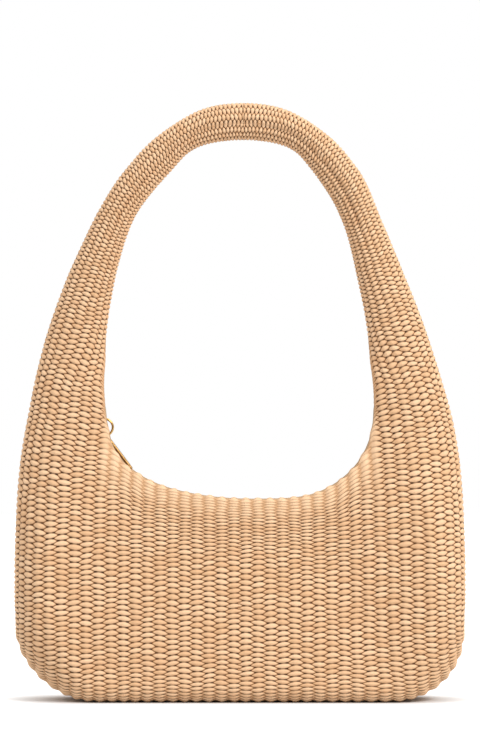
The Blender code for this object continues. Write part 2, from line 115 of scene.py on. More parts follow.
# The weave: columns counted from the middle to the side seam, and the height of one row.
COLUMNS = 20.5
PER_COLUMN = 8  # lines of vertices to a column
ROW = 0.0038
PER_ROW = 4  # vertices to a row
COLUMN_RISE = 0.0003
GRAIN_RISE = 0.0011
GRAIN_REACH = 0.64  # half a grain's length, in columns: its tips lie between its neighbours
RIM_ROWS = (4.2, 0.018)  # extra rows packed against the rim, and over what height
CORNER_ROWS = 0.060  # below this height rows are counted along each column
BASE_ROWS = (2.0, 0.010)  # extra rows packed at the base, and over what height
BASE_PALE = 0.5
LEAST_LEAN = 0.25  # the rim counts as no steeper than this where its paleness is measured
PALE_REACH = 0.7  # how far a pale place goes towards the plain ribs' colour
ROW_TILT = 0.24  # how much the rows slope on the horns
TILT_FROM = 0.09  # height where they start to slope
TILT_MIDDLE = 0.115  # distance from the middle at which a sloping row keeps its height
RIM_ROLL = 0.0017
RIM_TUCK = 0.006
RIM_PALE = 0.009  # how far below the rim the straw is drawn smooth
WIDEST, WIDEST_HEIGHT = SIDE[0]
FOLD_AT = 0.56  # the fold along the strap, as a share of its thickness from the outside
FOLD_FADE = (0.42, 0.62)  # where the fold starts and is full, as shares of the way to the crown
FOLD_STEP = 0.17  # how much shallower the strap is inside the fold
FOLD_CUT = 0.15  # how deep the fold's own groove is
FOLD_WIDTH = 0.045
SEAM_PINCH = 0.10
SEAM_WIDTH = 0.018
STRAP_ROWS = 0.42  # how much closer the rows lie over the strap

# The bag's small lean to one side: height and shift.
LEAN = (
    (0.18, 0.0), (0.245, -0.0020), (0.29, -0.0026), (0.33, -0.0016),
    (0.36, 0.0012), (0.395, 0.0026), (0.42, 0.0020),
)
LEAN_FADE = (0.18, 0.22)
CORNER_LEAN = 0.0030  # how far both bottom corners shift to the right
CORNER_FILL = 0.0016  # how far each of them is drawn outwards
CORNER_FADE = (0.0, 0.05)  # over these heights
CORNER_START = (0.06, 0.12)  # and over these distances from the middle
RIM_SAG = 0.0046  # how far the rim sinks
SAG_PLACE = (0.052, 0.032)  # where, and how far to either side
SAG_FADE = (0.08, 0.137)
SAG_TOP = (0.16, 0.19)

# The cloth and the zip.
LINING_CREASE = 0.0016
ZIP_RADIUS = 0.1182
ZIP_CENTRE = 0.2421
TOOTH_PITCH = 0.0020
TOOTH = (0.0013, 0.0026, 0.0018)  # along the chain, across it and up
TOOTH_OVER = 0.0006  # how far a tooth reaches over the middle
TOOTH_RINGS = ((-0.5, 1.0), (-0.36, 1.08), (0.36, 1.08), (0.5, 1.0))  # place along it, and height
TOOTH_HEAD = 0.42  # half the height over the middle, and on the tape
TOOTH_FOOT = 0.5
CHAIN = (-58.5, 41.0)  # where the teeth start and end, in degrees
WELD = 0.00001

# Colours.
# STRAW_LIGHT and STRAW_MID serve both the grains' random tones and the painted light and shade across
# the pale ribs.
STRAW_LIGHT = (0.97, 0.66, 0.41, 1)
STRAW_MID = (0.76, 0.44, 0.225, 1)
# painted shade: the darker warm brown painted into the grooves round each grain
STRAW_GROOVE_SHADE = (0.42, 0.185, 0.065, 1)
# painted shade: the near black of the painted outlines and shadow dashes
STRAW_SHADOW = (0.055, 0.02, 0.006, 1)

# The view and the light.
VIEWPOINT = (0.0, -3.2, 0.2258)
SENSOR = 36.0
VIEW = (3.18, 0.5005)  # a distance, and the height of what the picture holds there
SKY = (0.14, 1.17)  # strength of the surround, low down and overhead
SKY_RANGE = (-0.3, 0.7)  # how far up one looks where each of the two is reached
KEY = 18.5
KEY_PLACE = (1.1, -1.15, 1.4)
KEY_AIM = (0.0, 0.0, 0.2)
KEY_SIZE = (0.8, 0.6)
FLOOR_REACH = 4
FLOOR_GAP = 0.001
FLOOR_GREY = 0.7
FLOOR_GLOW = 0.68  # what the floor adds for the camera, to be white
# painted contact shadow: how far and how strongly the floor's glow is dimmed near the bag
CONTACT = (0.035, 2.5)  # reach and strength of the shadow close to the bag


def smooth(low, high, value):
    """0 below low, 1 above high, and an even rise between."""
    share = np.clip((value - low) / (high - low), 0.0, 1.0)
    return share * share * (3.0 - 2.0 * share)


def mix(a, b, share):
    return a + (b - a) * share


def through(points):
    """A smooth curve through the points (Catmull-Rom), as a dense polyline."""
    known = np.concatenate([2 * points[:1] - points[1:2], points, 2 * points[-1:] - points[-2:-1]])
    found = []
    for a, b, c, d in zip(known, known[1:], known[2:], known[3:]):
        for k in range(CURVE_STEPS):
            t = k / CURVE_STEPS
            found.append(
                0.5 * (2 * b + (c - a) * t + (2 * a - 5 * b + 4 * c - d) * t**2
                       + (3 * b - a - 3 * c + d) * t**3)
            )
    return np.array([*found, points[-1]])


def mirrored_end(points):
    """A smooth curve through points up to the centre line, running level across it."""
    over = np.array([[-x, z] for x, z in points[-2:-1]])
    line = through(np.concatenate([points, over]))
    return line[line[:, 0] > 1e-6]


def outer_line():
    """The bag's outline, from the middle of the base to the top of the crown."""
    width, height = CORNER
    turns = np.linspace(-math.pi / 2, 0, CORNER_STEPS)
    corner = np.stack(
        [BASE_FLAT + width * np.cos(turns), height + height * np.sin(turns)], axis=1
    )
    upper = mirrored_end(np.array([corner[-1], *SIDE, (0.0, STRAP_TOP)]))
    return np.concatenate([[[0.0, 0.0]], corner[:-1], upper, [[0.0, STRAP_TOP]]])


def inner_line():
    """The rim and the inside of the strap, from the middle of the mouth to the crown."""
    points = np.array([(0.0, RIM_LOW), *RIM, *LOOP, (0.0, LOOP_TOP)])
    over = np.array([[-points[1][0], points[1][1]]])
    line = mirrored_end(np.concatenate([over, points]))
    return np.concatenate([[[0.0, RIM_LOW]], line, [[0.0, LOOP_TOP]]])


def parted(line, height):
    """The polyline below and above a height."""
    for k, (a, b) in enumerate(zip(line, line[1:])):
        if a[1] <= height <= b[1] and b[1] > a[1]:
            middle = a + (b - a) * (height - a[1]) / (b[1] - a[1])
            return np.array([*line[: k + 1], middle]), np.array([middle, *line[k + 1 :]])
    raise ValueError("the outline never reaches that height")


def lengths(line):
    """How far along a polyline each of its points lies."""
    return np.concatenate([[0.0], np.cumsum(np.linalg.norm(np.diff(line, axis=0), axis=1))])


def at_share(line, share):
    """Points (x, z) at these shares of a polyline's length."""
    along = lengths(line)
    return (
        np.interp(share * along[-1], along, line[:, 0]),
        np.interp(share * along[-1], along, line[:, 1]),
    )


OUTER_ROOT, OUTER_STRAP = parted(outer_line(), HORN_END)
INNER_ROOT, INNER_STRAP = parted(inner_line(), HORN_END)


def profile(ox, oz, ix, iz, u):
    """Depth at a distance u from the outline, on the cut from (ox, oz) to (ix, iz)."""
    length = np.hypot(ix - ox, iz - oz)
    turned = np.where(oz < CORNER[1], smooth(BASE_FLAT, BASE_FLAT + CORNER[0], ox), 1.0)
    deep = mix(BASE_DEPTH, HORN_DEPTH, smooth(0.0, HORN_END, oz))
    round_v = mix(BASE_EDGE, deep, turned)
    round_u = mix(BASE_EDGE, np.minimum(SIDE_TURN, length / 2), turned)
    closing = smooth(RIM_LOW + CLOSING_RISE, HORN_END, iz)
    rim = mix(MOUTH_DEPTH, HORN_SLIT, closing)
    share = np.clip((u - round_u) / (length - round_u), 0.0, 1.0)
    straight = mix(deep, rim, share)
    rounded = rim + (deep - rim) * np.sqrt(1.0 - share * share)
    wall = mix(straight, rounded, closing)
    around = np.clip((round_u - u) / round_u, 0.0, 1.0)
    flat = deep - round_v
    return np.where(u < round_u, flat + round_v * np.sqrt(1.0 - around * around), wall)


def body_depth(x, z):
    """Depth of the body's surface at points of its front view, right half."""
    low, high = np.zeros_like(x), np.ones_like(x)
    for _ in range(SEARCH_STEPS):
        share = (low + high) / 2
        (ox, oz), (ix, iz) = at_share(OUTER_ROOT, share), at_share(INNER_ROOT, share)
        ahead = (ix - ox) * (z - oz) - (iz - oz) * (x - ox) < 0.0
        low, high = np.where(ahead, share, low), np.where(ahead, high, share)
    (ox, oz), (ix, iz) = at_share(OUTER_ROOT, low), at_share(INNER_ROOT, low)
    length = np.hypot(ix - ox, iz - oz)
    u = ((x - ox) * (ix - ox) + (z - oz) * (iz - oz)) / length
    return profile(ox, oz, ix, iz, np.clip(u, 0.0, length))


def outer_x(z):
    """Half width at a height; below the widest place the columns stay upright."""
    rising = OUTER_ROOT[:, 1] >= CORNER[1]
    line = OUTER_ROOT[rising]
    return np.where(z < WIDEST_HEIGHT, WIDEST, np.interp(z, line[:, 1], line[:, 0]))


SIDE_ARC = math.pi / 4 * (SIDE_TURN + SIDE_DEPTH)
GIRTH = WIDEST - SIDE_TURN + SIDE_ARC


def column_share(column):
    """How far out a column lies, as a share of the half width."""
    along = np.abs(column) / COLUMNS * GIRTH
    flat = WIDEST - SIDE_TURN
    turn = np.clip((along - flat) / SIDE_ARC, 0.0, 1.0) * math.pi / 2
    return np.where(along < flat, along, flat + SIDE_TURN * np.sin(turn)) / WIDEST


def share_column(share):
    """The column at a share of the half width."""
    known = np.linspace(0.0, COLUMNS, COLUMN_MARKS)
    return np.interp(share, column_share(known), known)


def rim_line():
    """The rim drawn in by its roll, its unit normals into the opening, and its columns."""
    line = INNER_ROOT
    step = np.gradient(line, axis=0)
    step /= np.linalg.norm(step, axis=1, keepdims=True)
    normal = np.stack([-step[:, 1], step[:, 0]], axis=1)
    inset = line - normal * RIM_ROLL
    columns = share_column(inset[:, 0] / outer_x(inset[:, 1]))
    return inset, normal, columns


RIM_INSET, RIM_NORMAL, RIM_COLUMNS = rim_line()
RIM_COLUMN = float(RIM_COLUMNS[-1])


def corner_height(x):
    """Height of the bottom outline at a distance from the middle."""
    share = np.clip((x - BASE_FLAT) / CORNER[0], 0.0, 1.0)
    return CORNER[1] * (1.0 - np.sqrt(1.0 - share * share))


def row_of(x, z):
    """Row count at a place of the wall: rows lie level low down and square to the horns above."""
    tilt = ROW_TILT * smooth(TILT_FROM, HORN_END, z)
    return (z - tilt * (x - TILT_MIDDLE)) / ROW


def body_column(column):
    """One column's line, from the middle of the base to the rim or the horn's end: points, and
    the row count and paleness at each. The outermost column lies in the middle plane."""
    share = float(column_share(column))
    ends_at_rim = column < RIM_COLUMN
    top = float(np.interp(column, RIM_COLUMNS, RIM_INSET[:, 1])) if ends_at_rim else HORN_END
    start_x = share * WIDEST
    start = float(corner_height(np.array(start_x)))
    turn = start + TURN_HEIGHT * (1.0 - np.cos(np.linspace(0.0, math.pi / 2, TURN_STEPS)))
    heights = np.concatenate([turn, np.linspace(turn[-1], top, WALL_STEPS)[1:]])
    x = share * outer_x(heights)
    y = body_depth(x, heights) * (share < 1.0 - 1e-9)
    base = np.linspace(0.0, y[0], BASE_STEPS)[:-1]
    x = np.concatenate([np.full(len(base), x[0]), x])
    y = np.concatenate([base, y])
    z = np.concatenate([np.full(len(base), heights[0]), heights])
    run = lengths(np.stack([x, y, z], axis=1))
    mark = float(np.interp(max(CORNER_ROWS, start + 0.002), z[len(base):], run[len(base):]))
    low = float(row_of(np.interp(mark, run, x), np.interp(mark, run, z)))
    rows = np.where(run < mark, low - (mark - run) / ROW, row_of(x, z))
    pale = np.zeros_like(z)
    if ends_at_rim:
        lean = float(np.interp(column, RIM_COLUMNS, RIM_NORMAL[:, 1]))
        level = 1.0 - smooth(RIM_COLUMN - 5.0, RIM_COLUMN - 1.0, column)
        rows = rows + RIM_ROWS[0] * level * np.exp(-(top - z) / RIM_ROWS[1])
        away = (top - z) * max(lean, LEAST_LEAN)
        fade = 1.0 - smooth(RIM_COLUMN - 1.0, RIM_COLUMN, column)
        pale = np.exp(-((away / RIM_PALE) ** 2)) * fade
    low = np.exp(-(z - start) / BASE_ROWS[1])
    rows = rows - BASE_ROWS[0] * low
    return np.stack([x, y, z], axis=1), rows, np.maximum(pale, BASE_PALE * low**2)


def strap_column(column):
    """One column's line from the horn's end to the crown. Over the first part of the way it turns
    from the flat horn's section to the strap's oval one."""
    t = np.linspace(0.0, 1.0, STRAP_STEPS)
    (ox, oz), (ix, iz) = at_share(OUTER_STRAP, t), at_share(INNER_STRAP, t)
    x_root = float(column_share(column)) * ox[0]
    lam_root = np.clip((ox[0] - x_root) / (ox[0] - ix[0]), 0.0, 1.0)
    inward = np.clip((COLUMNS - column) / (COLUMNS - RIM_COLUMN), 0.0, 1.0)
    spread = 1.0 - (1.0 - inward) ** mix(1.0, 1.25, t)
    lam_strap = (1.0 - np.cos(math.pi * spread)) / 2
    lam = mix(lam_root, lam_strap, smooth(0.0, 0.25, t))
    x, z = mix(ox, ix, lam), mix(oz, iz, lam)
    horn = profile(ox[0], oz[0], ix[0], iz[0], lam_root * (ox[0] - ix[0]))
    deep = mix(mix(HORN_DEPTH, STRAP_DEPTH, smooth(0.0, 0.15, t)), CROWN_DEPTH, t)
    oval = deep * np.sqrt(np.clip(1.0 - (2.0 * lam - 1.0) ** 2, 0.0, 1.0))
    y = mix(horn, oval, smooth(0.0, 0.16, t))
    fold = smooth(*FOLD_FADE, t)
    y -= fold * y * FOLD_STEP * smooth(FOLD_AT - 0.03, FOLD_AT + 0.04, lam)
    y -= fold * y * FOLD_CUT * np.exp(-(((lam - FOLD_AT) / FOLD_WIDTH) ** 2))
    y *= 1.0 - SEAM_PINCH * np.exp(-(((1.0 - t) / SEAM_WIDTH) ** 2))
    middle = lengths(np.stack([(ox + ix) / 2, (oz + iz) / 2], axis=1))
    tilt = ROW_TILT * (x_root - TILT_MIDDLE) * (1.0 - smooth(0.0, 0.4, t))
    closer = 1.0 + STRAP_ROWS * smooth(0.08, 0.6, t)
    middle = np.concatenate([[0.0], np.cumsum(np.diff(middle) * (closer[1:] + closer[:-1]) / 2)])
    rows = (HORN_END + middle - tilt) / ROW
    return np.stack([x, y, z], axis=1), rows, np.zeros_like(z)


def sampled(points, rows, pale):
    """A line's points at every quarter row, with both ends kept: places, rows and paleness."""
    rows = np.maximum.accumulate(rows + np.arange(len(rows)) * TINY)
    first, last = math.ceil(rows[0] * PER_ROW + 0.3), math.floor(rows[-1] * PER_ROW - 0.3)
    wanted = np.concatenate([[rows[0]], np.arange(first, last + 1) / PER_ROW, [rows[-1]]])
    found = np.stack([np.interp(wanted, rows, points[:, k]) for k in range(3)], axis=1)
    return found, wanted, np.interp(wanted, rows, pale)


def zipped(a, rows_a, b, rows_b):
    """Faces of the strip between two lines of vertices, matched by their rows."""
    faces, i, j = [], 0, 0
    while i < len(a) - 1 or j < len(b) - 1:
        next_a = rows_a[i + 1] if i < len(a) - 1 else math.inf
        next_b = rows_b[j + 1] if j < len(b) - 1 else math.inf
        if abs(next_a - next_b) < 1e-6:
            faces.append((a[i], b[j], b[j + 1], a[i + 1]))
            i, j = i + 1, j + 1
        elif next_a < next_b:
            faces.append((a[i], b[j], a[i + 1]))
            i += 1
        else:
            faces.append((a[i], b[j], b[j + 1]))
            j += 1
    return faces


def wander(weave):
    """Column and row counts with the slow unevenness of hand weaving."""
    column, row, pale = weave.T
    row = row + 0.16 * np.sin(1.9 * column + 0.31 * row) + 0.12 * np.sin(0.7 * column - 0.57 * row)
    column = column + 0.07 * np.sin(0.83 * row + 1.3 * column) * np.sin(0.29 * row)
    return np.stack([column, row, pale], axis=1)


def grain_height(p, q):
    """Height of one grain, from 0 to 1, at p columns and q rows from its middle."""
    along = np.clip(1.0 - (p / GRAIN_REACH) ** 2, 1e-4, 1.0)
    across = np.clip(1.0 - (2.0 * q / along) ** 2, 0.0, 1.0)
    return np.sqrt(across) * along**0.6


def relief(column, row, pale):
    """How far the straw stands out: grains in each column, set half a row from their neighbours'.
    At the rim the grains run out and the columns are left as ribs."""
    strand = np.floor(column)
    p = column - strand - 0.5
    beside = np.where(p < 0.0, -1.0, 1.0)
    found = np.zeros_like(p)
    for shift in (0.0, beside):
        staggered = row + 0.5 * (np.abs(strand + shift) % 2)
        q = staggered - np.floor(staggered) - 0.5
        found = np.maximum(found, grain_height(p - shift, q))
    ribs = COLUMN_RISE * (1.0 + 0.9 * pale) * np.cos(2 * math.pi * p)
    return ribs + GRAIN_RISE * (1.0 - 0.8 * pale) * (found - 0.55)


def unit(vectors):
    return vectors / np.maximum(np.linalg.norm(vectors, axis=1, keepdims=True), 1e-9)


def woven(lines):
    """A mesh through these lines of the weave. Each vertex carries its column, row and paleness."""
    points, weave, faces, indices = [], [], [], []
    previous = None
    for line, rows, pale, column in lines:
        found, wanted, pale = sampled(line, rows, pale)
        first = indices[-1][-1] + 1 if indices else 0
        index = list(range(first, first + len(found)))
        points.append(found)
        weave.append(np.stack([np.full(len(wanted), column), wanted, pale], axis=1))
        if previous is not None:
            faces += zipped(indices[-1], previous, index, wanted)
        previous = wanted
        indices.append(index)
    return np.concatenate(points), np.concatenate(weave), faces, indices


def rolled(points, weave, faces, edge, radii):
    """The mesh with its edge rolled over into the bag and tucked down behind itself."""
    line = points[edge]
    step = unit(np.gradient(line[:, [0, 2]], axis=0))
    into = np.stack([-step[:, 1], np.zeros(len(step)), step[:, 0]], axis=1)
    into[np.abs(line[:, 0]) < TINY] = (0.0, 0.0, 1.0)
    across = np.array([0.0, 1.0, 0.0])
    turns = [math.pi * k / ROLL_STEPS for k in range(1, ROLL_STEPS + 1)]
    rows = [into * math.sin(a) * radii[:, None] - across * (1 - math.cos(a)) * radii[:, None]
            for a in turns]
    over = rows[-1]
    for k in range(1, TUCK_STEPS + 1):
        rows.append(over - into * RIM_TUCK * (k / TUCK_STEPS) * (radii / RIM_ROLL)[:, None])
    last, count = np.array(edge), len(points)
    added, notes = [], []
    for k, row in enumerate(rows):
        here = count + k * len(edge) + np.arange(len(edge))
        added.append(line + row)
        note = weave[edge].copy()
        note[:, 1] += (k + 1) / PER_ROW
        note[:, 2] = np.maximum(note[:, 2], 0.9)
        notes.append(note)
        faces = faces + [
            (int(last[i]), int(last[i + 1]), int(here[i + 1]), int(here[i]))
            for i in range(len(edge) - 1)
        ]
        last = here
    return np.concatenate([points, *added]), np.concatenate([weave, *notes]), faces


def columns_drawn():
    """Where the lines of vertices lie, counted in columns."""
    return np.arange(0, round(COLUMNS * PER_COLUMN) + 1) / PER_COLUMN


def body_lines():
    """The body's lines of vertices, with one more where the rim meets the horn."""
    return [(*body_column(c), c) for c in sorted([*columns_drawn(), RIM_COLUMN])]


def strap_lines():
    """The strap's lines of vertices, which start where the body's end."""
    columns = columns_drawn()
    return [(*strap_column(c), c) for c in [RIM_COLUMN, *columns[columns > RIM_COLUMN]]]


def add_mesh(name, points, faces, weave=None):
    """A new object. The weave's columns and rows go into a UV layer, and its paleness beside them."""
    mesh = bpy.data.meshes.new(name)
    mesh.from_pydata(points.tolist(), [], faces)
    if weave is not None:
        layer = mesh.uv_layers.new(name="weave")
        loops = np.empty(len(mesh.loops), np.int32)
        mesh.loops.foreach_get("vertex_index", loops)
        layer.data.foreach_set("uv", weave[loops, :2].astype(np.float32).ravel())
        pale = mesh.attributes.new("pale", "FLOAT", "POINT")
        pale.data.foreach_set("value", weave[:, 2].astype(np.float32))
    mesh.shade_smooth()
    mesh.update()
    obj = bpy.data.objects.new(name, mesh)
    bpy.context.scene.collection.objects.link(obj)
    return obj


def normals_of(mesh):
    found = np.empty(len(mesh.vertices) * 3, np.float32)
    mesh.vertex_normals.foreach_get("vector", found)
    return found.reshape(-1, 3).astype(float)


def leaned(points):
    """The bag's small lean to one side, in its strap and its bottom corners, and the rim's sag."""
    heights, shifts = zip(*LEAN)
    middle, width = SAG_PLACE
    x, z = points[:, 0], points[:, 2]
    shift = np.interp(z, heights, shifts) * smooth(*LEAN_FADE, z)
    low = (1.0 - smooth(*CORNER_FADE, z)) * smooth(*CORNER_START, np.abs(x))
    shift += low * (CORNER_LEAN + CORNER_FILL * np.sign(x))
    sag = RIM_SAG * np.exp(-(((x - middle) / width) ** 2)) * smooth(*SAG_FADE, z)
    sag *= 1.0 - smooth(*SAG_TOP, z)
    return points + np.stack([shift, 0 * shift, -sag], axis=1)


def raise_weave(points, weave, faces, still):
    """Points moved out of the base surface by the weave's relief. still marks the edges that lie
    in the middle plane, whose normals lie in it too."""
    scratch = bpy.data.meshes.new("scratch")
    scratch.from_pydata(points.tolist(), [], faces)
    scratch.update()
    normals = normals_of(scratch)
    bpy.data.meshes.remove(scratch)
    normals[still, 1] = 0.0
    return points + unit(normals) * relief(*weave.T)[:, None]


def both_halves(points, weave, faces):
    """The right half and its mirror image as one mesh, joined along the middle."""
    count = len(points)
    middle = np.abs(points[:, 0]) < TINY
    left = np.where(middle, np.arange(count), count + np.cumsum(~middle) - 1)
    points = np.concatenate([points, points[~middle] * (-1, 1, 1)])
    weave = np.concatenate([weave, weave[~middle] * (-1, 1, 1)])
    faces = faces + [tuple(int(left[i]) for i in face[::-1]) for face in faces]
    return points, weave, faces


def make_panel(name, side, straw):
    """The front (side -1) or the back of the body, its horns and its half of the base."""
    points, weave, faces, lines = woven(BODY_LINES)
    edge = [line[-1] for line in lines if weave[line[0], 0] <= RIM_COLUMN]
    points, weave, faces = rolled(points, weave, faces, edge, np.full(len(edge), RIM_ROLL))
    points, weave, faces = both_halves(points, wander(weave), faces)
    points = points * (1, side, 1)
    if side > 0:
        faces = [face[::-1] for face in faces]
    points = raise_weave(points, weave, faces, np.abs(points[:, 1]) < 1e-6)
    obj = add_mesh(name, leaned(points), faces, weave)
    obj.data.materials.append(straw)
    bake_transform(obj)
    return obj


def make_strap(name, mirror, straw):
    """One sleeve of the strap, from the horn's end to the seam at the crown."""
    points, weave, faces, lines = woven(STRAP_LINES)
    edge = [i for i in lines[0] if points[i, 1] > 2e-4]
    radii = np.minimum(RIM_ROLL, points[edge, 1] / 2)
    points, weave, faces = rolled(points, weave, faces, edge, radii)
    weave = wander(weave)
    count = len(points)
    points = np.concatenate([points * (1, -1, 1), points])
    weave = np.concatenate([weave, weave])
    faces = faces + [tuple(i + count for i in face[::-1]) for face in faces]
    points = points * (mirror, 1, 1)
    weave = weave * (mirror, 1, 1)
    if mirror < 0:
        faces = [face[::-1] for face in faces]
    points = raise_weave(points, weave, faces, np.abs(points[:, 1]) < 1e-6)
    obj = add_mesh(name, leaned(points), faces, weave)
    obj.data.materials.append(straw)
    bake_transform(obj)
    return obj


class Nodes:
    """A small builder of shader nodes."""

    def __init__(self, name):
        self.material = bpy.data.materials.new(name)
        self.material.use_nodes = True
        self.tree = self.material.node_tree
        self.shader = self.tree.nodes["Principled BSDF"]

    def put(self, socket, value):
        if isinstance(value, bpy.types.NodeSocket):
            self.tree.links.new(value, socket)
        else:
            socket.default_value = value

    def math(self, operation, *values):
        node = self.tree.nodes.new("ShaderNodeMath")
        node.operation = operation
        for socket, value in zip(node.inputs, values):
            self.put(socket, value)
        return node.outputs[0]

    def mix(self, share, a, b):
        node = self.tree.nodes.new("ShaderNodeMix")
        node.data_type = "RGBA"
        self.put(node.inputs[0], share)
        self.put(node.inputs[6], a)
        self.put(node.inputs[7], b)
        return node.outputs[2]

    def noise(self, vector, scale, detail=2.0):
        node = self.tree.nodes.new("ShaderNodeTexNoise")
        self.put(node.inputs["Vector"], vector)
        node.inputs["Scale"].default_value = scale
        node.inputs["Detail"].default_value = detail
        return node.outputs["Fac"]

    def ramp(self, value, low, high):
        node = self.tree.nodes.new("ShaderNodeMapRange")
        node.interpolation_type = "SMOOTHSTEP"
        for socket, given in zip(node.inputs, (value, low, high, 0.0, 1.0)):
            self.put(socket, given)
        return node.outputs[0]

    def vector(self, x, y, z=0.0):
        node = self.tree.nodes.new("ShaderNodeCombineXYZ")
        for socket, value in zip(node.inputs, (x, y, z)):
            self.put(socket, value)
        return node.outputs[0]

    def random(self, vector):
        node = self.tree.nodes.new("ShaderNodeTexWhiteNoise")
        self.put(node.inputs["Vector"], vector)
        return node.outputs["Value"]

    def bump(self, height, distance, strength=1.0):
        node = self.tree.nodes.new("ShaderNodeBump")
        node.inputs["Strength"].default_value = strength
        node.inputs["Distance"].default_value = distance
        self.put(node.inputs["Height"], height)
        self.put(self.shader.inputs["Normal"], node.outputs[0])


def grain_nodes(n, strand, row, p):
    """One column's grain height, as in grain_height, and the grain's own tone."""
    odd = n.math("MODULO", n.math("ABSOLUTE", strand), 2.0)
    staggered = n.math("ADD", row, n.math("MULTIPLY", odd, 0.5))
    grain = n.math("FLOOR", staggered)
    q = n.math("SUBTRACT", n.math("SUBTRACT", staggered, grain), 0.5)
    reach = n.math("POWER", n.math("ABSOLUTE", n.math("DIVIDE", p, GRAIN_REACH)), 2.0)
    along = n.math("MAXIMUM", n.math("SUBTRACT", 1.0, reach), 1e-4)
    off = n.math("POWER", n.math("ABSOLUTE", n.math("DIVIDE", n.math("MULTIPLY", q, 2.0), along)), 2.0)
    across = n.math("SQRT", n.math("MAXIMUM", n.math("SUBTRACT", 1.0, off), 0.0))
    height = n.math("MULTIPLY", across, n.math("POWER", along, 0.6))
    return height, n.random(n.vector(strand, grain)), q


def straw_material():
    """Straw whose grains follow the mesh: grains in their own random tones, with painted shade in the
    grooves round them, warm brown and a faint dark outline, and short dark dashes of painted shadow
    where one grain of a column ends and the next starts. Pale places keep only the columns, painted
    lighter in their middles and shaded at their sides."""
    n = Nodes("woven_straw")
    uv = n.tree.nodes.new("ShaderNodeUVMap")
    uv.uv_map = "weave"
    split = n.tree.nodes.new("ShaderNodeSeparateXYZ")
    n.put(split.inputs[0], uv.outputs[0])
    column, row = split.outputs[0], split.outputs[1]
    strand = n.math("FLOOR", column)
    p = n.math("SUBTRACT", n.math("SUBTRACT", column, strand), 0.5)
    beside = n.math("SIGN", p)
    own, own_tone, q = grain_nodes(n, strand, row, p)
    next_strand = n.math("ADD", strand, beside)
    other, other_tone, _ = grain_nodes(n, next_strand, row, n.math("SUBTRACT", p, beside))
    top = n.math("MAXIMUM", own, other)
    tone = n.mix(n.math("GREATER_THAN", other, own), own_tone, other_tone)
    fibre = n.noise(n.vector(n.math("MULTIPLY", column, 0.9), n.math("MULTIPLY", row, 6.0)), 2.2, 4.0)
    light = n.math("ADD", n.math("MULTIPLY", tone, 0.6), n.math("MULTIPLY", fibre, 0.45))
    body = n.mix(light, STRAW_MID, STRAW_LIGHT)
    known = n.tree.nodes.new("ShaderNodeAttribute")
    known.attribute_name = "pale"
    pale = known.outputs["Fac"]
    # Painted shade: the straw turns to the darker warm brown where the grain's height falls off, in
    # the grooves between grains.
    groove_shaded = n.mix(n.ramp(top, 0.0, 0.7), STRAW_GROOVE_SHADE, body)
    side = n.math("ABSOLUTE", p)
    # Painted shadows: short dark dashes where one grain of a column ends and the next starts, stronger
    # off the column's middle and varying with each grain's tone.
    grain_end = n.ramp(n.math("ABSOLUTE", q), 0.27, 0.42)
    shadow_dash = n.math("MULTIPLY", grain_end, n.ramp(side, 0.45, 0.34))
    depth = n.math("ADD", n.math("MULTIPLY", n.ramp(side, 0.08, 0.26), 0.5), 0.45)
    depth = n.math("MULTIPLY", depth, n.math("ADD", n.math("MULTIPLY", own_tone, 0.5), 0.62))
    # The strength of the painted shade in outlines and dashes: full on the grains, a tenth of it where
    # the straw is pale.
    wear_and_shade = n.math("SUBTRACT", 1.0, n.math("MULTIPLY", pale, 0.9))
    # Painted shade: a faint near-black outline in the lowest parts of the grooves round each grain.
    outline = n.math("MULTIPLY", n.ramp(top, 0.3, 0.0), n.math("MULTIPLY", wear_and_shade, 0.3))
    colour = n.mix(outline, groove_shaded, STRAW_SHADOW)
    # Painted shadow: the dashes darken the straw towards near black.
    shadow_dash = n.math("MULTIPLY", n.math("MULTIPLY", shadow_dash, depth), wear_and_shade)
    colour = n.mix(shadow_dash, colour, STRAW_SHADOW)
    # Painted light and shade at pale places: each rib lighter down its middle and darker at its sides,
    # where shade falls between ribs.
    rib = n.mix(n.ramp(side, 0.5, 0.2), STRAW_MID, STRAW_LIGHT)
    colour = n.mix(n.math("MULTIPLY", pale, PALE_REACH), colour, rib)
    n.put(n.shader.inputs["Base Color"], colour)
    n.shader.inputs["Roughness"].default_value = 0.62
    n.shader.inputs["Specular IOR Level"].default_value = 0.3
    n.bump(n.math("ADD", n.math("MULTIPLY", fibre, 0.25), top), 0.0007, 0.8)
    return n.material


def plain_material(name, colour, roughness, metallic=0.0):
    """The nodes of a material of one colour, to be added to."""
    n = Nodes(name)
    n.shader.inputs["Base Color"].default_value = (*colour, 1)
    n.shader.inputs["Roughness"].default_value = roughness
    n.shader.inputs["Metallic"].default_value = metallic
    return n


def gold_material(name, colour):
    """Polished metal with faint wear."""
    n = plain_material(name, colour, 0.2, 1.0)
    place = n.tree.nodes.new("ShaderNodeTexCoord")
    wear_and_shade = n.noise(place.outputs["Object"], 900.0, 3.0)
    n.put(n.shader.inputs["Roughness"], n.math("ADD", n.math("MULTIPLY", wear_and_shade, 0.16), 0.12))
    return n.material


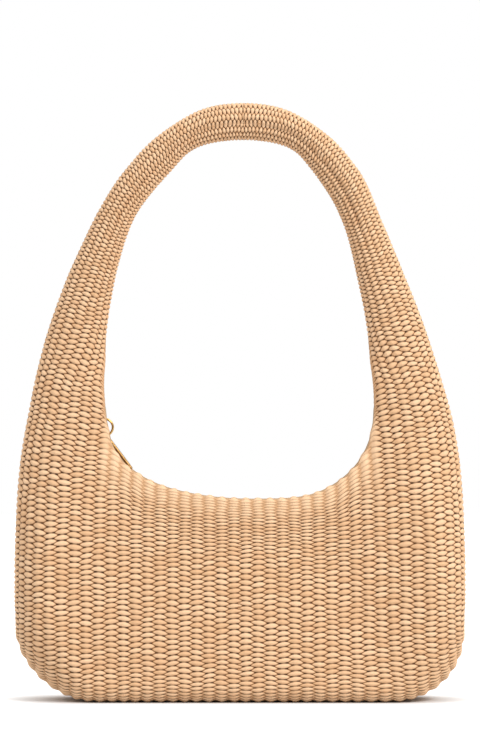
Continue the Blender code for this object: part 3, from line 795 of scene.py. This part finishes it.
def cloth_material(name, light, dark, threads):
    """A plain woven cloth: fine threads both ways and soft unevenness."""
    n = plain_material(name, light, 0.85)
    n.shader.inputs["Specular IOR Level"].default_value = 0.15
    n.shader.inputs["Sheen Weight"].default_value = 0.15
    place = n.tree.nodes.new("ShaderNodeTexCoord")
    split = n.tree.nodes.new("ShaderNodeSeparateXYZ")
    n.put(split.inputs[0], place.outputs["Object"])
    across = n.math("SINE", n.math("MULTIPLY", split.outputs[0], threads))
    along = n.math("SINE", n.math("MULTIPLY", split.outputs[2], threads))
    thread = n.math("MULTIPLY", across, along)
    cloud = n.noise(place.outputs["Object"], 60.0, 3.0)
    share = n.math("ADD", n.math("MULTIPLY", thread, 0.2), n.math("MULTIPLY", cloud, 0.7))
    n.put(n.shader.inputs["Base Color"], n.mix(share, (*light, 1), (*dark, 1)))
    n.bump(thread, 0.00015, 0.6)
    return n.material


def look_of(node, name, material):
    """A visual copy of a CAD node's mesh, to be worked on in place of it."""
    obj = frame["nodes"][node].copy()
    obj.data = frame["nodes"][node].data.copy()
    obj.name = name
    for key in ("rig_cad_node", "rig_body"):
        if key in obj:
            del obj[key]
    obj.parent = None
    bpy.context.scene.collection.objects.link(obj)
    obj.data.materials.clear()
    obj.data.materials.append(material)
    return obj


def refined(obj, levels):
    """The piece welded, subdivided and smoothed into an even mesh."""
    weld = obj.modifiers.new("weld", "WELD")
    weld.merge_threshold = WELD
    smoothed = obj.modifiers.new("smooth", "SUBSURF")
    smoothed.levels = smoothed.render_levels = levels
    graph = bpy.context.evaluated_depsgraph_get()
    made = bpy.data.meshes.new_from_object(obj.evaluated_get(graph))
    obj.modifiers.clear()
    obj.data = made
    made.shade_smooth()
    return obj


def moved_points(obj, change):
    """The piece with its vertices changed by a function of their places."""
    count = len(obj.data.vertices)
    points = np.empty(count * 3, np.float32)
    obj.data.vertices.foreach_get("co", points)
    points = change(points.reshape(-1, 3).astype(float))
    obj.data.vertices.foreach_set("co", points.astype(np.float32).ravel())
    obj.data.update()


def creased(points):
    """Loose creases of the lining, all of them inwards from the straw."""
    x, y, z = points.T
    folds = np.sin(48 * x + 21 * z) + 0.7 * np.sin(97 * x - 64 * z + 1.3)
    folds = folds + 0.5 * np.sin(150 * z + 31 * x)
    inward = LINING_CREASE * (1.0 + folds / 2.2) / 2 * smooth(0.012, 0.04, z)
    side = np.sign(y) * smooth(0.0, 0.004, np.abs(y))
    return points - np.stack([0 * x, side * inward, 0 * x], axis=1)


def make_linings(lining, facing):
    """The sewn-in cotton: lining and slip pocket with soft creases, and the facing of the rim."""
    for node, slot, material in (
        ("lining_front", "lining", lining),
        ("lining_back", "lining", lining),
        ("slip_pocket", "lining", lining),
        ("rim_facing_front", "facing", facing),
        ("rim_facing_back", "facing", facing),
    ):
        piece = refined(look_of(node, node + "_cloth", material), 2)
        if slot == "lining":
            moved_points(piece, creased)
        moved_points(piece, leaned)
        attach(piece, "root")
        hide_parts(node)


def tooth_mesh(points, faces, angle, side):
    """One tooth: a block with softened ends and a lower head that reaches over the middle."""
    length, width, height = TOOTH
    head, foot = -TOOTH_OVER, width - TOOTH_OVER
    corners = ((head, TOOTH_HEAD), (head, -TOOTH_HEAD), (foot, -TOOTH_FOOT), (foot, TOOTH_FOOT))
    start = len(points)
    for along, share in TOOTH_RINGS:
        for depth, high in corners:
            turn = angle + along * length / ZIP_RADIUS
            reach = ZIP_RADIUS - high * height * share
            points.append((reach * math.sin(turn), side * depth, ZIP_CENTRE - reach * math.cos(turn)))
    rings = [range(start + 4 * k, start + 4 * k + 4) for k in range(4)]
    made = [tuple(rings[0]), tuple(reversed(rings[-1]))]
    for a, b in zip(rings, rings[1:]):
        made += [(a[n], b[n], b[(n + 1) % 4], a[(n + 1) % 4]) for n in range(4)]
    faces += made if side > 0 else [face[::-1] for face in made]


def make_chain(tape, gold):
    """Two rows of separate teeth, half a pitch apart, on their tapes."""
    low, high = (math.radians(a) for a in CHAIN)
    count = int((high - low) * ZIP_RADIUS / TOOTH_PITCH)
    for side, place in ((-1, "front"), (1, "back")):
        points, faces = [], []
        for k in range(count):
            step = (k + (0.5 if side > 0 else 0.0)) * TOOTH_PITCH
            tooth_mesh(points, faces, low + step / ZIP_RADIUS, side)
        teeth = add_mesh(f"zip_teeth_{place}_row", np.array(points), faces)
        teeth.data.shade_flat()
        teeth.data.materials.append(gold)
        band = refined(look_of(f"zip_tape_{place}", f"zip_tape_{place}_cloth", tape), 1)
        for piece in (teeth, band):
            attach(piece, "root")
            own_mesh(piece)
        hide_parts(f"zip_teeth_{place}")
        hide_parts(f"zip_tape_{place}")


def dress(node, material):
    """Gives a CAD node that stays in sight its material."""
    slots = frame["nodes"][node].data.materials
    slots.clear()
    slots.append(material)


def make_fittings(gold, old_gold, tape):
    """Gold for the slider, the ring and the stops, darker gold for the pull, and tape cloth for
    the chain's ends."""
    for node in ("slider_body", "slider_bridge", "pull_ring",
                 "zip_top_stop_front", "zip_top_stop_back", "zip_bottom_stop"):
        dress(node, gold)
    dress("pull_tab", old_gold)
    for place in ("left", "right"):
        node = f"zip_end_tab_{place}"
        tab = refined(look_of(node, node + "_cloth", tape), 1)
        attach(tab, "root")
        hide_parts(node)


def camera():
    """Level, square to the front."""
    data = bpy.data.cameras.new("camera")
    obj = bpy.data.objects.new("camera", data)
    bpy.context.scene.collection.objects.link(obj)
    obj.location = VIEWPOINT
    obj.rotation_euler = (math.pi / 2, 0.0, 0.0)
    data.sensor_fit = "VERTICAL"
    data.sensor_height = SENSOR
    data.lens = SENSOR * VIEW[0] / VIEW[1]
    data.clip_end = 20.0
    bpy.context.scene.camera = obj


def area_light(name, place, aim, size, power):
    data = bpy.data.lights.new(name, "AREA")
    data.shape = "RECTANGLE"
    data.size, data.size_y = size
    data.energy = power
    obj = bpy.data.objects.new(name, data)
    bpy.context.scene.collection.objects.link(obj)
    obj.location = place
    direction = (np.array(aim) - np.array(place)).tolist()
    obj.rotation_euler = Vector(direction).to_track_quat("-Z", "Y").to_euler()


def stage():
    """White floor and surround, with soft light from above and a key light from the right front."""
    corners = np.array([(-1, -1, 0), (1, -1, 0), (1, 1, 0), (-1, 1, 0)], float) * FLOOR_REACH
    floor = add_mesh("floor", corners, [(0, 1, 2, 3)])
    floor.location.z = -FLOOR_GAP
    n = Nodes("floor")
    n.shader.inputs["Base Color"].default_value = (FLOOR_GREY, FLOOR_GREY, FLOOR_GREY, 1)
    n.shader.inputs["Roughness"].default_value = 0.9
    n.shader.inputs["Specular IOR Level"].default_value = 0.0
    n.shader.inputs["Emission Color"].default_value = (1.0, 1.0, 1.0, 1)
    path = n.tree.nodes.new("ShaderNodeLightPath")
    near = n.tree.nodes.new("ShaderNodeAmbientOcclusion")
    near.samples = 16
    near.inputs["Distance"].default_value = CONTACT[0]
    # Painted shadow: the floor's glow for the camera is dimmed where the bag is close by, which paints
    # a contact shadow round its base.
    glow_outside_contact_shadow = n.math("POWER", near.outputs["AO"], CONTACT[1])
    glow = n.math("MULTIPLY", path.outputs["Is Camera Ray"], FLOOR_GLOW)
    n.put(n.shader.inputs["Emission Strength"], n.math("MULTIPLY", glow, glow_outside_contact_shadow))
    floor.data.materials.append(n.material)
    world = bpy.data.worlds.new("surround")
    bpy.context.scene.world = world
    world.use_nodes = True
    tree = world.node_tree
    shade = tree.nodes["Background"]
    shade.inputs["Color"].default_value = (1.0, 1.0, 1.0, 1)
    path = tree.nodes.new("ShaderNodeLightPath")
    place = tree.nodes.new("ShaderNodeTexCoord")
    parts = tree.nodes.new("ShaderNodeSeparateXYZ")
    tree.links.new(place.outputs["Generated"], parts.inputs[0])
    sky = tree.nodes.new("ShaderNodeMapRange")
    for socket, value in zip(sky.inputs, (None, *SKY_RANGE, *SKY)):
        if value is not None:
            socket.default_value = value
    tree.links.new(parts.outputs["Z"], sky.inputs["Value"])
    level = tree.nodes.new("ShaderNodeMix")
    tree.links.new(path.outputs["Is Camera Ray"], level.inputs[0])
    tree.links.new(sky.outputs[0], level.inputs[2])
    level.inputs[3].default_value = 1.0
    tree.links.new(level.outputs[0], shade.inputs["Strength"])
    area_light("key", KEY_PLACE, KEY_AIM, KEY_SIZE, KEY)
    bpy.context.scene.view_settings.view_transform = "Standard"


camera()
stage()
STRAW = straw_material()
BODY_LINES = body_lines()
STRAP_LINES = strap_lines()
front = make_panel("woven_front", -1, STRAW)
back = make_panel("woven_back", 1, STRAW)
left = make_strap("strap_sleeve_left", -1, STRAW)
right = make_strap("strap_sleeve_right", 1, STRAW)
GOLD = gold_material("gold", (0.72, 0.45, 0.15))
OLD_GOLD = gold_material("old_gold", (0.46, 0.26, 0.09))
TAPE = cloth_material("zip_tape", (0.62, 0.44, 0.26), (0.46, 0.31, 0.17), 5200.0)
make_linings(
    cloth_material("lining_cloth", (0.80, 0.68, 0.52), (0.62, 0.50, 0.36), 4200.0),
    cloth_material("facing_cloth", (0.68, 0.47, 0.28), (0.50, 0.33, 0.18), 4800.0),
)
make_chain(TAPE, GOLD)
make_fittings(GOLD, OLD_GOLD, TAPE)
dress("base_board", cloth_material("board", (0.30, 0.24, 0.18), (0.22, 0.17, 0.12), 3000.0))
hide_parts("front_panel", "horn_padding_left")
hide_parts("back_panel", "horn_padding_right")
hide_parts("strap_cover_left", "strap_core")
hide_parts("strap_cover_right", "strap_top_seam")
